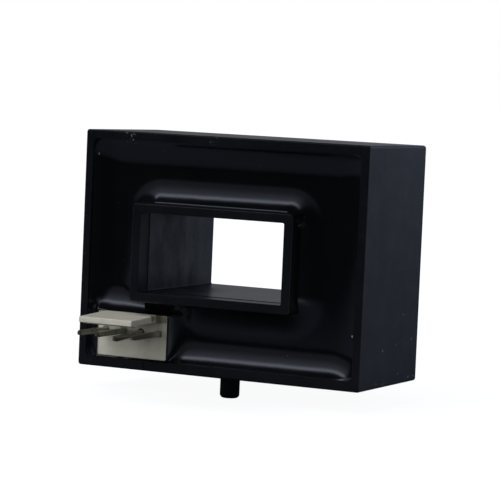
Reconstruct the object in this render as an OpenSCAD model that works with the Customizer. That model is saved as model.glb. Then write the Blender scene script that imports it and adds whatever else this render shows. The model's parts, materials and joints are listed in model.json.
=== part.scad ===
// Potted Hall effect current sensor with a busbar window.
// +Z is up, +Y runs from the open front to the back, +X is to the right seen from the front.
// The origin lies on the locating peg's axis, in the plane of the bottom face. Millimetres.

/* [Housing] */
// Width of the housing across its open front
housing_w = 39.8; // [37:0.1:46]
// Height of the housing
housing_h = 30.25; // [28.5:0.05:36]
// Depth of the housing from the rim to the back
housing_d = 17.9; // [16:0.1:24]
// Thickness of the side and top walls
wall = 1.1; // [0.8:0.05:1.5]
// Thickness of the bottom wall
bottom_wall = 1.3; // [0.8:0.05:1.6]
// Thickness of the back wall
back_wall = 1.2; // [0.8:0.05:2]
// How far the sides and the top draw in between the rim and the back
draft = 0.2; // [0:0.05:0.4]
// Radius of the housing's outer edges
edge_r = 0.35; // [0.15:0.05:0.7]
// Radius of the rim's outer edge
rim_r = 0.15; // [0.05:0.05:0.4]
// Radius of the corners inside the housing
inner_corner_r = 0.6; // [0.3:0.05:1.2]

/* [Window] */
// Width of the window that the busbar passes through
window_w = 20; // [16:0.1:22.5]
// Height of the window
window_h = 10; // [8:0.1:11.4]
// Place of the window's centre to the right of the peg
window_x = -0.33; // [-0.8:0.01:0.8]
// Height of the window's centre above the bottom face
window_z = 15.15; // [14.7:0.05:16]
// Thickness of the tube round the window
tube_wall = 1.25; // [0.8:0.05:1.5]
// Radius of the tube's outer corners
tube_r = 0.4; // [0.3:0.05:0.8]
// How far the tube stands out in front of the rim
collar = 2.1; // [1:0.1:4]
// Radius of the collar's outer front edge
collar_r = 0.2; // [0.1:0.05:0.35]
// Step in the window's walls where the two mould cores met
parting_step = 0.06; // [0.03:0.01:0.2]
// Depth of that step behind the rim
parting_depth = 0.4; // [0:0.05:1]

/* [Locating peg] */
// Diameter of the peg
peg_d = 2.5; // [1.6:0.1:4]
// Length of the peg below the bottom face
peg_len = 2.85; // [1.5:0.05:5]
// Radius of the peg's end edge
peg_tip_r = 0.5; // [0.2:0.05:0.7]
// Distance of the peg's axis behind the rim
peg_setback = 4.3; // [2.2:0.1:9]

/* [Casting resin] */
// Depth of the resin's flat surface behind the rim
resin_depth = 1.6; // [1.3:0.05:2]
// Depth behind the rim at which the resin wets the walls and the tube
wetting_depth = 0.25; // [0.1:0.05:0.5]
// How far the climbing surface reaches out from a wall
climb_reach = 3.9; // [2.5:0.1:4.5]
// How far the climbing curve would dip below the flat surface
climb_dip = 0.05; // [0.02:0.01:0.1]

/* [Terminal header] */
// Distance between neighbouring pins
pin_pitch = 2.54; // [2:0.01:2.54]
// Width of a square pin
pin_w = 0.64; // [0.5:0.02:0.7]
// How far the pins stand out of the base
pin_reach = 7; // [5:0.1:9]
// Length of the taper at the pins' tips
pin_taper = 0.5; // [0.2:0.05:0.9]
// How far the pins' tails pass the back of the board
pin_tail = 1.4; // [1:0.1:1.5]
// Height of the pin row above the foot of the base
pin_height = 3.35; // [2.6:0.05:3.8]
// Length of the base beyond the outer pins
base_end = 1.27; // [1:0.01:1.5]
// Height of the base
base_h = 5.8; // [5.2:0.1:6.2]
// Thickness of the base
base_t = 3.2; // [2.6:0.1:3.4]
// Radius of the base's long edges
base_r = 0.25; // [0.15:0.05:0.5]
// Depth of the base's front face behind the rim
base_depth = 0.35; // [0.2:0.05:0.8]
// Gap between the base and the left wall
base_side_gap = 1.43; // [0.4:0.01:2]
// Gap between the base and the bottom wall
base_foot_gap = 0.17; // [0.05:0.01:0.5]
// Width of the friction-lock tongue
tongue_w = 7.6; // [5:0.1:9]
// How far the tongue stands out of the base
tongue_len = 7.1; // [5:0.1:9]
// Thickness of the tongue at its tip
tongue_t = 0.77; // [0.5:0.01:1]
// Thickness of the tongue at its root
tongue_root_t = 0.95; // [0.7:0.01:1.3]
// How far the tongue leans in towards the pins at its tip
tongue_lean = 0.3; // [0:0.05:0.5]
// Height of the locking ridge under the tongue
lock_ridge = 0.25; // [0.1:0.05:0.4]
// Distance of the locking ridge from the tongue's tip
lock_setback = 1.2; // [0.8:0.1:2]
// Length of the locking ridge's ramps
lock_ramp = 0.6; // [0.3:0.05:0.8]

/* [Circuit board] */
// Thickness of the board
board_t = 1.6; // [0.8:0.1:1.7]
// Gap between the board's edge and the housing's walls
board_edge_gap = 0.5; // [0.2:0.05:0.6]
// Gap between the board's cut-out and the tube
board_tube_gap = 0.4; // [0.2:0.05:0.5]
// Radius of the corners of the board and of its cut-out
board_r = 1; // [0.5:0.1:1.5]
// Diameter of the plated holes for the header's pins
pin_hole_d = 1; // [0.95:0.01:1.2]
// Diameter of the solder pads round the header's pins
pin_pad_d = 1.9; // [1.5:0.05:2.2]
// Height of the solder on the header's pins
pin_solder_h = 0.9; // [0.5:0.05:1]

/* [Magnetic core] */
// Gap between the tube and the core
core_tube_gap = 0.35; // [0.1:0.05:0.5]
// Thickness of the wound strip
core_build = 4; // [3:0.1:4.3]
// Radius of the core's inner corners
core_r = 1; // [0.5:0.1:2]
// Gap between the amplifier and the core
core_front_gap = 1.4; // [0.8:0.1:2.5]

/* [Hall element] */
// Width of the Hall element across its leads
hall_w = 4; // [3.4:0.1:4.4]
// Length of the Hall element along its leads
hall_h = 3; // [2:0.1:3.6]
// Thickness of the Hall element
hall_t = 1.5; // [1:0.05:2]
// Chamfer on the Hall element's face
hall_chamfer = 0.45; // [0.1:0.05:0.8]
// Gap on each side between the Hall element and the core
hall_gap = 0.4; // [0.2:0.05:0.8]
// Depth of the Hall element behind the core's front face
hall_inset = 2.5; // [0.5:0.1:4]
// Distance between neighbouring leads
lead_pitch = 1.27; // [1.1:0.01:1.3]
// Width of a lead
lead_w = 0.44; // [0.35:0.01:0.5]
// Thickness of a lead
lead_t = 0.4; // [0.3:0.01:0.5]
// How far the leads pass the front of the board
lead_stub = 0.7; // [0.5:0.05:0.9]
// Diameter of the plated holes for the leads
lead_hole_d = 0.8; // [0.75:0.01:0.9]
// Diameter of the solder pads round the leads
lead_pad_d = 1.1; // [0.95:0.01:1.15]
// Height of the solder on the leads
lead_solder_h = 0.5; // [0.3:0.05:0.6]

/* [Amplifier] */
// Length of the amplifier's body
amp_len = 4.9; // [4:0.1:9]
// Width of the amplifier's body
amp_w = 3.9; // [3:0.1:4.1]
// Thickness of the amplifier's body
amp_t = 1.4; // [1:0.05:1.6]
// Width across the tips of the amplifier's leads
amp_span = 6; // [5.2:0.1:6.1]
// Distance between neighbouring amplifier leads
amp_pitch = 1.27; // [1:0.01:1.27]
// Width of an amplifier lead
amp_lead_w = 0.42; // [0.3:0.01:0.5]
// Place of the amplifier to the right of the window's centre
amp_x = 4; // [2:0.1:10]

/* [Regulator] */
// Length of the regulator's body
reg_len = 2.9; // [2.4:0.1:4]
// Width of the regulator's body
reg_w = 1.3; // [1.1:0.05:1.7]
// Thickness of the regulator's body
reg_t = 1; // [0.8:0.05:1.3]
// Width across the tips of the regulator's leads
reg_span = 2.4; // [2.2:0.05:3]
// Distance between neighbouring regulator leads
reg_pitch = 0.95; // [0.8:0.01:1.1]
// Width of a regulator lead
reg_lead_w = 0.4; // [0.3:0.01:0.5]

/* [Chip parts] */
// Thickness of the formed chip leads
chip_lead_t = 0.18; // [0.12:0.01:0.25]
// Height of the chip bodies above the board
chip_standoff = 0.1; // [0.05:0.01:0.2]
// Length of a chip resistor or capacitor
chip_len = 2; // [1.6:0.1:2.4]
// Width of a chip resistor or capacitor
chip_w = 1.25; // [0.8:0.05:1.6]
// Length of the tinned ends
chip_end = 0.4; // [0.2:0.05:0.5]
// Thickness of a chip resistor
resistor_t = 0.5; // [0.35:0.05:0.7]
// Thickness of a chip capacitor
capacitor_t = 0.85; // [0.6:0.05:1.2]
// Distance of the first resistor from the Hall element
resistor_offset = 4.5; // [3.5:0.1:6]
// Distance between neighbouring resistors
resistor_pitch = 2.6; // [2.2:0.1:3]
// Distance of the capacitors above and below the window's centre
capacitor_offset = 4; // [3:0.1:4.5]

/* [Hidden] */
$fn = 48;

// Thickness of the slices that a hull joins
sliver = 0.01;
// How far a cutting shape passes the surface that it cuts
overcut = 0.5;
// How far a climbing curve runs into the wall that it wets
bite = 0.1;
// Angles of the slices along a rounded edge
edge_steps = [0, 30, 60, 90];
// Number of resistors on each side of the Hall element
resistors_per_side = 3;
// How far each pin is bent down from straight, in degrees
pin_droop = [0, 0, 3, 0];

housing_colour = "#23262e";
resin_colour = "#0d0e13";
nylon_colour = "#e6e0d0";
tin_colour = "#8f8d80";
steel_colour = "#7d8289";
board_colour = "#2f6b3c";
solder_colour = "#b9bdc1";
package_colour = "#2a2a2c";
resistor_colour = "#1d2430";
capacitor_colour = "#b0906a";

// Stations along Y, from the front to the back
rim_y = -peg_setback;
collar_y = rim_y - collar;
back_y = rim_y + housing_d;
inner_back_y = back_y - back_wall;
resin_y = rim_y + resin_depth;
base_y = rim_y + base_depth;
board_y = base_y + base_t;
board_back_y = board_y + board_t;
core_y = board_back_y + chip_standoff + amp_t + core_front_gap;
hall_y = core_y + hall_inset;

// Inside faces of the housing at the resin's surface, as left, right, bottom and top
inner_left = -housing_w / 2 + wall + draw_in(resin_y);
inner_right = -inner_left;
inner_bottom = bottom_wall;
inner_top = housing_h - wall - draw_in(resin_y);

// Half sizes of the window's nested outlines
tube_half = [window_w / 2 + tube_wall, window_h / 2 + tube_wall];
cutout_half = tube_half + [board_tube_gap, board_tube_gap];
core_half = tube_half + [core_tube_gap, core_tube_gap];

// Heights that the resin climbs at the walls and at the header
wall_rise = resin_depth - wetting_depth;
base_rise = resin_depth - base_depth;

// Header base and its pins
pin_count = len(pin_droop);
base_w = (pin_count - 1) * pin_pitch + 2 * base_end;
base_left = inner_left + base_side_gap;
base_right = base_left + base_w;
base_foot = inner_bottom + base_foot_gap;
base_top = base_foot + base_h;
pin_z = base_foot + pin_height;

// Board outline and the middles of the strips round its cut-out
board_left = -housing_w / 2 + wall + draw_in(board_back_y) + board_edge_gap;
board_right = -board_left;
board_bottom = inner_bottom + board_edge_gap;
board_top = housing_h - wall - draw_in(board_back_y) - board_edge_gap;
strip_left = (board_left + window_x - cutout_half[0]) / 2;
strip_right = (board_right + window_x + cutout_half[0]) / 2;
strip_bottom = (board_bottom + window_z - cutout_half[1]) / 2;
strip_top = (board_top + window_z + cutout_half[1]) / 2;

// Air gap in the upper leg of the core
air_gap = hall_t + 2 * hall_gap;
hall_z = window_z + core_half[1] + core_build / 2;

// How far the sides have drawn in at a station along Y
function draw_in(y) = draft * (y - rim_y) / housing_d;

// Radius of a climbing curve that rises by the given height
function climb_r(rise) = (climb_reach ^ 2 + (rise + climb_dip) ^ 2) / (2 * (rise + climb_dip));

// Place of a pin along X, counted from the left
function pin_x(i) = base_left + base_end + (i - 1) * pin_pitch;

// Places of the Hall element's leads along Z
lead_places = [for (k = [-1:1]) hall_z + k * lead_pitch];

// Stands an outline in the XZ plane up between two stations along Y
module along_y(from, to) {
    translate([0, to, 0])
        rotate([90, 0, 0])
            linear_extrude(to - from)
                children();
}

// Rectangle with round corners
module rounded_rect(left, right, bottom, top, r) {
    translate([left + r, bottom])
        square([right - left - 2 * r, top - bottom]);
    translate([left, bottom + r])
        square([right - left, top - bottom - 2 * r]);
    for (x = [left + r, right - r], z = [bottom + r, top - r])
        translate([x, z])
            circle(r);
}

// Rectangle with round corners round the window's centre
module window_rect(half, r) {
    rounded_rect(window_x - half[0], window_x + half[0], window_z - half[1], window_z + half[1], r);
}

// Thin slice of the drafted housing at a station along Y
module housing_slice(y, side, foot, r) {
    along_y(y, y + sliver)
        rounded_rect(
            -housing_w / 2 + draw_in(y) + side, housing_w / 2 - draw_in(y) - side,
            foot, housing_h - draw_in(y) - side, r, $fn = 32
        );
}

// Outside of the housing, with its rounded rim and back edges
module housing_block() {
    hull() {
        for (a = edge_steps) {
            housing_slice(rim_y + rim_r * (1 - sin(a)), rim_r * (1 - cos(a)), rim_r * (1 - cos(a)), edge_r);
            housing_slice(
                back_y - sliver - edge_r * (1 - sin(a)), edge_r * (1 - cos(a)), edge_r * (1 - cos(a)), edge_r
            );
        }
    }
}

// Space inside the housing's walls, open past the rim
module housing_cavity() {
    hull() {
        housing_slice(rim_y - overcut, wall, bottom_wall, inner_corner_r);
        housing_slice(inner_back_y - sliver, wall, bottom_wall, inner_corner_r);
    }
}

// Outside of the tube round the window, from the collar to its root in the back wall
module window_tube() {
    hull() {
        for (a = edge_steps)
            along_y(collar_y + collar_r * (1 - sin(a)), collar_y + collar_r * (1 - sin(a)) + sliver)
                window_rect(tube_half - collar_r * (1 - cos(a)) * [1, 1], tube_r, $fn = 32);
        along_y(inner_back_y, inner_back_y + back_wall / 2)
            window_rect(tube_half, tube_r, $fn = 32);
    }
}

// Window through the tube, a little wider in front of the parting line
module window_cut() {
    parting_y = rim_y + parting_depth;
    along_y(collar_y - overcut, parting_y)
        translate([window_x, window_z])
            square([window_w + 2 * parting_step, window_h + 2 * parting_step], center = true);
    along_y(parting_y - sliver, back_y + overcut)
        translate([window_x, window_z])
            square([window_w, window_h], center = true);
}

// Locating peg, rooted in the bottom wall
module locating_peg() {
    root = bottom_wall / 2;
    translate([0, 0, root])
        rotate([180, 0, 0])
            rotate_extrude() {
                square([peg_d / 2, root + peg_len - peg_tip_r]);
                square([peg_d / 2 - peg_tip_r, root + peg_len]);
                translate([peg_d / 2 - peg_tip_r, root + peg_len - peg_tip_r])
                    circle(peg_tip_r);
            }
}

// One moulding: open box, window tube and peg
module housing() {
    color(housing_colour)
        difference() {
            union() {
                difference() {
                    housing_block();
                    housing_cavity();
                }
                window_tube();
                locating_peg();
            }
            window_cut();
        }
}

// Section of the resin where it climbs a wall: distance from the wall, then rise
module climb_section(rise) {
    r = climb_r(rise);
    difference() {
        translate([-bite, -overcut])
            square([climb_reach + bite, overcut + rise + 3 * bite]);
        translate([climb_reach, r - climb_dip])
            circle(r);
    }
}

// Straight stretch of climbing resin, wetting a wall in the YZ plane from its right
module climb_run(length, rise) {
    rotate([180, 0, 0])
        linear_extrude(length, center = true)
            climb_section(rise);
}

// Resin that climbs the housing's four walls
module climb_at_walls() {
    for (side = [
        [inner_left, housing_h / 2, 0, housing_h],
        [0, inner_top, 90, housing_w],
        [inner_right, housing_h / 2, 180, housing_h],
        [0, inner_bottom, 270, housing_w]
    ])
        translate([side[0], resin_y, side[1]])
            rotate([0, side[2], 0])
                climb_run(side[3], wall_rise);
}

// Resin that climbs round the outside of a block with round corners
module climb_round(left, right, bottom, top, r, rise) {
    half = [(right - left) / 2, (top - bottom) / 2];
    translate([(left + right) / 2, resin_y, (bottom + top) / 2])
        for (k = [0:3]) {
            out = half[k % 2];
            along = half[(k + 1) % 2];
            rotate([0, -90 * k, 0]) {
                translate([out, 0, 0])
                    climb_run(2 * (along - r), rise);
                translate([out - r, 0, along - r])
                    rotate([90, 0, 0])
                        rotate_extrude(angle = 90)
                            translate([r, 0])
                                climb_section(rise);
            }
        }
}

// Everything behind the resin's free surface
module resin_body() {
    translate([-housing_w / 2, resin_y, 0])
        cube([housing_w, housing_d, housing_h]);
    climb_at_walls();
    climb_round(
        window_x - tube_half[0], window_x + tube_half[0],
        window_z - tube_half[1], window_z + tube_half[1], tube_r, wall_rise
    );
    climb_round(base_left, base_right, base_foot, base_top, base_r, base_rise);
}

// Cast fill that takes up all the space round the pieces inside the housing
module potting_resin() {
    color(resin_colour)
        difference() {
            intersection() {
                housing_cavity();
                resin_body();
            }
            window_tube();
            header_space();
            for (i = [1:pin_count])
                terminal_pin(i);
            board_plate();
            header_solder_solid();
            magnetic_core();
            hall_element();
            hall_leads();
            hall_solder_solid();
            amplifier_chip();
            amplifier_leads();
            regulator_chip();
            regulator_leads();
            resistor_blocks(0);
            capacitor_blocks(0);
        }
}

// Space that the header's base takes up, and all that lies in front of it
module header_space() {
    along_y(rim_y - overcut, board_y)
        rounded_rect(base_left, base_right, base_foot, base_top, base_r);
}

// Base and tongue of the header before its pins pass through
module header_block() {
    along_y(base_y, board_y)
        rounded_rect(base_left, base_right, base_foot, base_top, base_r);
    translate([(base_left + base_right - tongue_w) / 2, 0, 0])
        rotate([90, 0, 90])
            linear_extrude(tongue_w)
                tongue_profile();
}

// Side view of the friction-lock tongue, with its locking ridge underneath
module tongue_profile() {
    tip_y = base_y - tongue_len;
    tip_top = base_top - tongue_lean;
    under_slope = (tongue_lean + tongue_t - tongue_root_t) / tongue_len;
    ridge_z = tip_top - tongue_t + under_slope * lock_setback;
    polygon([
        [base_y + base_t / 2, base_top],
        [base_y, base_top],
        [tip_y, tip_top],
        [tip_y, tip_top - tongue_t],
        [tip_y + lock_setback - lock_ramp, ridge_z - under_slope * lock_ramp],
        [tip_y + lock_setback, ridge_z - lock_ridge],
        [tip_y + lock_setback + lock_ramp, ridge_z + under_slope * lock_ramp],
        [base_y, base_top - tongue_root_t],
        [base_y + base_t / 2, base_top - tongue_root_t]
    ]);
}

// Header moulding with the pins' holes through it
module header_base() {
    color(nylon_colour)
        difference() {
            header_block();
            for (i = [1:pin_count])
                terminal_pin(i);
        }
}

// Square bar along Y between two stations, tapered at its front end, its back end or both
module square_bar(from, to, front_taper, back_taper) {
    half = pin_w / 2;
    narrow = half / 2;
    profile = [
        [from, front_taper > 0 ? narrow : half], [from + front_taper, half],
        [to - back_taper, half], [to, back_taper > 0 ? narrow : half]
    ];
    outline = concat(profile, [for (i = [len(profile) - 1:-1:0]) [profile[i][0], -profile[i][1]]]);
    intersection() {
        rotate([0, 0, 90])
            mirror([0, 1, 0])
                linear_extrude(pin_w, center = true)
                    polygon(outline);
        rotate([90, 0, 90])
            linear_extrude(pin_w, center = true)
                polygon(outline);
    }
}

// Pin of the header, counted from the left, bent down where it leaves the base
module terminal_pin(i) {
    color(tin_colour)
        translate([pin_x(i), base_y, pin_z]) {
            square_bar(0, base_t + board_t + pin_tail, 0, pin_taper);
            rotate([pin_droop[i - 1], 0, 0])
                square_bar(-pin_reach, bite, pin_taper, 0);
        }
}

// Board with its cut-out, before it is drilled
module board_plate() {
    along_y(board_y, board_back_y)
        difference() {
            rounded_rect(board_left, board_right, board_bottom, board_top, board_r);
            window_rect(cutout_half, board_r);
        }
}

// Circuit board round the tube, drilled for the header and the Hall element
module circuit_board() {
    color(board_colour)
        difference() {
            board_plate();
            for (i = [1:pin_count])
                translate([pin_x(i), board_back_y + overcut, pin_z])
                    rotate([90, 0, 0])
                        cylinder(d = pin_hole_d, h = board_t + 2 * overcut);
            for (z = lead_places)
                translate([window_x, board_back_y + overcut, z])
                    rotate([90, 0, 0])
                        cylinder(d = lead_hole_d, h = board_t + 2 * overcut);
        }
}

// Solder joint that fills a plated hole and rises from its pad on the side away from the part
module solder_joint(hole_d, pad_d, h, neck) {
    rotate_extrude()
        polygon([
            [0, 0], [hole_d / 2, 0], [hole_d / 2, board_t], [pad_d / 2, board_t],
            [neck / 2, board_t + h], [0, board_t + h]
        ]);
}

// Solder of the header's pins, with the holes not yet taken up by the pins
module header_solder_solid() {
    for (i = [1:pin_count])
        translate([pin_x(i), board_y, pin_z])
            rotate([-90, 0, 0])
                solder_joint(pin_hole_d, pin_pad_d, pin_solder_h, pin_hole_d);
}

// Solder joints of the header's pins
module header_solder() {
    color(solder_colour)
        difference() {
            header_solder_solid();
            for (i = [1:pin_count])
                terminal_pin(i);
        }
}

// Wound strip core round the tube, cut through at the top for the air gap
module magnetic_core() {
    color(steel_colour)
        difference() {
            along_y(core_y, inner_back_y)
                difference() {
                    window_rect(core_half + [core_build, core_build], core_r + core_build);
                    window_rect(core_half, core_r);
                }
            translate([window_x - air_gap / 2, core_y - overcut, hall_z - core_build])
                cube([air_gap, housing_d, 2 * core_build]);
        }
}

// Hall element in the air gap, with its face chamfered on the right
module hall_element() {
    color(package_colour)
        along_y(hall_y, hall_y + hall_h)
            translate([window_x, hall_z])
                polygon([
                    [-hall_t / 2, -hall_w / 2],
                    [hall_t / 2 - hall_chamfer, -hall_w / 2],
                    [hall_t / 2, -hall_w / 2 + hall_chamfer],
                    [hall_t / 2, hall_w / 2 - hall_chamfer],
                    [hall_t / 2 - hall_chamfer, hall_w / 2],
                    [-hall_t / 2, hall_w / 2]
                ]);
}

// Leads of the Hall element, which pass forward through the board
module hall_leads() {
    color(tin_colour)
        for (z = lead_places)
            along_y(board_y - lead_stub, hall_y)
                translate([window_x, z])
                    square([lead_t, lead_w], center = true);
}

// Solder of the Hall element's leads, with the holes not yet taken up by the leads
module hall_solder_solid() {
    for (z = lead_places)
        translate([window_x, board_back_y, z])
            rotate([90, 0, 0])
                solder_joint(lead_hole_d, lead_pad_d, lead_solder_h, lead_hole_d);
}

// Solder joints of the Hall element's leads, on the front of the board
module hall_solder() {
    color(solder_colour)
        difference() {
            hall_solder_solid();
            hall_leads();
        }
}

// Moulded chip body on the back of the board, with its middle at x and z
module chip_body(x, z, length, width, thickness) {
    translate([x - length / 2, board_back_y + chip_standoff, z - width / 2])
        cube([length, thickness, width]);
}

// Formed lead from the side of a chip body, at half height, down to its foot on the board
module gull_lead(body_w, span, body_t, lead_width) {
    t = chip_lead_t;
    exit_h = chip_standoff + body_t / 2 - t / 2;
    knee = (span - body_w) / 4;
    rotate([90, 0, 90])
        linear_extrude(lead_width, center = true)
            polygon([
                [exit_h + t, body_w / 2],
                [exit_h + t, body_w / 2 + knee],
                [t, body_w / 2 + knee + t],
                [t, span / 2],
                [0, span / 2],
                [0, body_w / 2 + knee],
                [exit_h, body_w / 2 + knee - t],
                [exit_h, body_w / 2]
            ]);
}

// Small-outline amplifier in the strip below the cut-out
module amplifier_chip() {
    color(package_colour)
        chip_body(window_x + amp_x, strip_bottom, amp_len, amp_w, amp_t);
}

// Four formed leads on each long side of the amplifier
module amplifier_leads() {
    color(solder_colour)
        for (k = [-1.5:1.5], m = [0, 1])
            translate([window_x + amp_x + k * amp_pitch, board_back_y, strip_bottom])
                mirror([0, 0, m])
                    gull_lead(amp_w, amp_span, amp_t, amp_lead_w);
}

// Small regulator in the strip to the right of the cut-out
module regulator_chip() {
    color(package_colour)
        chip_body(strip_right, window_z, reg_len, reg_w, reg_t);
}

// Two formed leads below the regulator and one above it
module regulator_leads() {
    color(solder_colour)
        for (lead = [[-1, 1], [1, 1], [0, 0]])
            translate([strip_right + lead[0] * reg_pitch, board_back_y, window_z])
                mirror([0, 0, lead[1]])
                    gull_lead(reg_w, reg_span, reg_t, reg_lead_w);
}

// Block of a chip resistor or capacitor on the back of the board, drawn in at both ends
module chip_block(x, z, thickness, draw) {
    translate([x - chip_w / 2, board_back_y, z - chip_len / 2 + draw])
        cube([chip_w, thickness, chip_len - 2 * draw]);
}

// Blocks of the resistors, in the strip above the cut-out
module resistor_blocks(draw) {
    for (side = [-1, 1], k = [0:resistors_per_side - 1])
        chip_block(window_x + side * (resistor_offset + k * resistor_pitch), strip_top, resistor_t, draw);
}

// Blocks of the capacitors, in the strips on both sides of the cut-out
module capacitor_blocks(draw) {
    for (x = [strip_left, strip_right], side = [-1, 1])
        chip_block(x, window_z + side * capacitor_offset, capacitor_t, draw);
}

// Ceramic bodies of the resistors
module chip_resistors() {
    color(resistor_colour)
        resistor_blocks(chip_end);
}

// Tinned ends of the resistors
module resistor_end_caps() {
    color(solder_colour)
        difference() {
            resistor_blocks(0);
            resistor_blocks(chip_end);
        }
}

// Ceramic bodies of the capacitors
module chip_capacitors() {
    color(capacitor_colour)
        capacitor_blocks(chip_end);
}

// Tinned ends of the capacitors
module capacitor_end_caps() {
    color(solder_colour)
        difference() {
            capacitor_blocks(0);
            capacitor_blocks(chip_end);
        }
}

housing();
potting_resin();
header_base();
terminal_pin(1);  // terminal_pin_1
terminal_pin(2);  // terminal_pin_2
terminal_pin(3);  // terminal_pin_3
terminal_pin(4);  // terminal_pin_4
circuit_board();
header_solder();
magnetic_core();
hall_element();
hall_leads();
hall_solder();
amplifier_chip();
amplifier_leads();
regulator_chip();
regulator_leads();
chip_resistors();
resistor_end_caps();
chip_capacitors();
capacitor_end_caps();
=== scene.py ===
import json
import math

import bmesh
import bpy
from mathutils import Matrix, Vector


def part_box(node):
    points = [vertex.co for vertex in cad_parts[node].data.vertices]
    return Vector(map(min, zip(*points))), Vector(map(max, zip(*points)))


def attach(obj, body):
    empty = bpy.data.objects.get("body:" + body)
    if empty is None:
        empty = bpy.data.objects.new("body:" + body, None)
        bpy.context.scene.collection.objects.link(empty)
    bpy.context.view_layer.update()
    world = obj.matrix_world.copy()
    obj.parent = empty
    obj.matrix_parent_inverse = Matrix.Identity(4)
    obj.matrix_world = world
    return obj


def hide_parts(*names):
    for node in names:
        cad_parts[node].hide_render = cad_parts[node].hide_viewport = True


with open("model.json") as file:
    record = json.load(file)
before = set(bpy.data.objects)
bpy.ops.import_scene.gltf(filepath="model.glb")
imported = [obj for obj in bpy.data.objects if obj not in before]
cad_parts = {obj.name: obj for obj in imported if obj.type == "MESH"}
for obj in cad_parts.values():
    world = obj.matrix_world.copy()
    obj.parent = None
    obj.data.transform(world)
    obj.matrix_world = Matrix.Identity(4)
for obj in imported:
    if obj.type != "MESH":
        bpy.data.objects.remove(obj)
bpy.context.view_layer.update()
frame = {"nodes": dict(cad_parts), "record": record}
mm = 0.001
mounts = {mount["name"]: mount for mount in frame["record"]["mounts"]}
windowMouth = Vector(mounts["busbar_window"]["pos_m"])   # middle of the window, in the collar's front face
headerMouth = Vector(mounts["signal_header"]["pos_m"])   # middle of the pin row, in the base's front face
print("frame loaded:", len(frame["nodes"]), "nodes")


# Node wires and trees

def pickSocket(sockets, key):
    if isinstance(key, int):
        return sockets[key]
    for socket in sockets:
        if socket.identifier == key:
            return socket
    return sockets[key]


class Wire:
    # one output in a node tree; arithmetic on it adds Math nodes to that tree
    def __init__(self, tree, socket=None):
        self.tree = tree
        self.socket = socket

    def node(self, kind, settings=None, sockets=None, take=0):
        made = self.tree.nodes.new(kind)
        for name, value in (settings or {}).items():
            setattr(made, name, value)
        for name, value in (sockets or {}).items():
            target = pickSocket(made.inputs, name)
            if isinstance(value, Wire):
                self.tree.links.new(value.socket, target)
            else:
                target.default_value = value
        return Wire(self.tree, pickSocket(made.outputs, take) if len(made.outputs) else None)

    def out(self, name):
        return Wire(self.tree, pickSocket(self.socket.node.outputs, name))

    def math(self, operation, *values):
        return self.node("ShaderNodeMath", {"operation": operation}, dict(enumerate(values)))

    def __add__(self, other):
        return self.math("ADD", self, other)

    def __radd__(self, other):
        return self.math("ADD", other, self)

    def __sub__(self, other):
        return self.math("SUBTRACT", self, other)

    def __rsub__(self, other):
        return self.math("SUBTRACT", other, self)

    def __mul__(self, other):
        return self.math("MULTIPLY", self, other)

    def __rmul__(self, other):
        return self.math("MULTIPLY", other, self)

    def __truediv__(self, other):
        return self.math("DIVIDE", self, other)

    def __rtruediv__(self, other):
        return self.math("DIVIDE", other, self)

    def __pow__(self, other):
        return self.math("POWER", self, other)

    def atLeast(self, other):
        return self.math("MAXIMUM", self, other)

    def atMost(self, other):
        return self.math("MINIMUM", self, other)

    def between(self, low, high):
        # 0 below low, 1 above high, eased in between
        return self.node("ShaderNodeMapRange", {"interpolation_type": "SMOOTHSTEP"},
                         {"Value": self, "From Min": low, "From Max": high})

    def stretch(self, low, high):
        # share of 0 to 1 turned into a number from low to high
        return self * (high - low) + low

    def blend(self, other, share):
        # this value and a share of another one
        return self * (1 - share) + other * share

    def tint(self, low, high):
        # colour between two colours or colour wires, by this share
        return self.node("ShaderNodeMix", {"data_type": "RGBA"},
                         {"Factor_Float": self, "A_Color": low, "B_Color": high}, "Result_Color")

    def vector(self, operation, *values, take="Vector"):
        return self.node("ShaderNodeVectorMath", {"operation": operation}, dict(enumerate(values)), take)

    def split(self):
        part = self.node("ShaderNodeSeparateXYZ", {}, {"Vector": self}, "X")
        return part, part.out("Y"), part.out("Z")

    def grain(self, size, detail=2.0, rough=0.5):
        # cloudy noise with features of about this size
        return self.node("ShaderNodeTexNoise", {}, {"Vector": self, "Scale": 1 / size, "Detail": detail,
                                                    "Roughness": rough})

    def squeeze(self, x, y, z):
        # coordinates scaled by axis, so that a pattern runs along the smaller factors
        return self.vector("MULTIPLY", self, (x, y, z))

    def near(self, point, reach):
        # 1 at a point, fading to 0 at this reach
        apart = self.vector("DISTANCE", self, point, take="Value")
        return 1 - apart.between(0, reach)

    def relief(self, height):
        # bump of this height
        return self.node("ShaderNodeBump", {}, {"Height": self, "Distance": height, "Strength": 1.0})


def colour(red, green, blue):
    return (red, green, blue, 1.0)


def makeFinish(name, fixed, vary):
    # fixed numbers stay on the shader's own sockets; vary gives what changes over the surface
    finish = bpy.data.materials.new(name)
    finish.use_nodes = True
    finish.node_tree.nodes.clear()
    start = Wire(finish.node_tree)
    place = start.node("ShaderNodeTexCoord", {}, {}, "Object")
    shader = start.node("ShaderNodeBsdfPrincipled", {}, {**fixed, **vary(place)})
    start.node("ShaderNodeOutputMaterial", {}, {"Surface": shader})
    return finish


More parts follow.
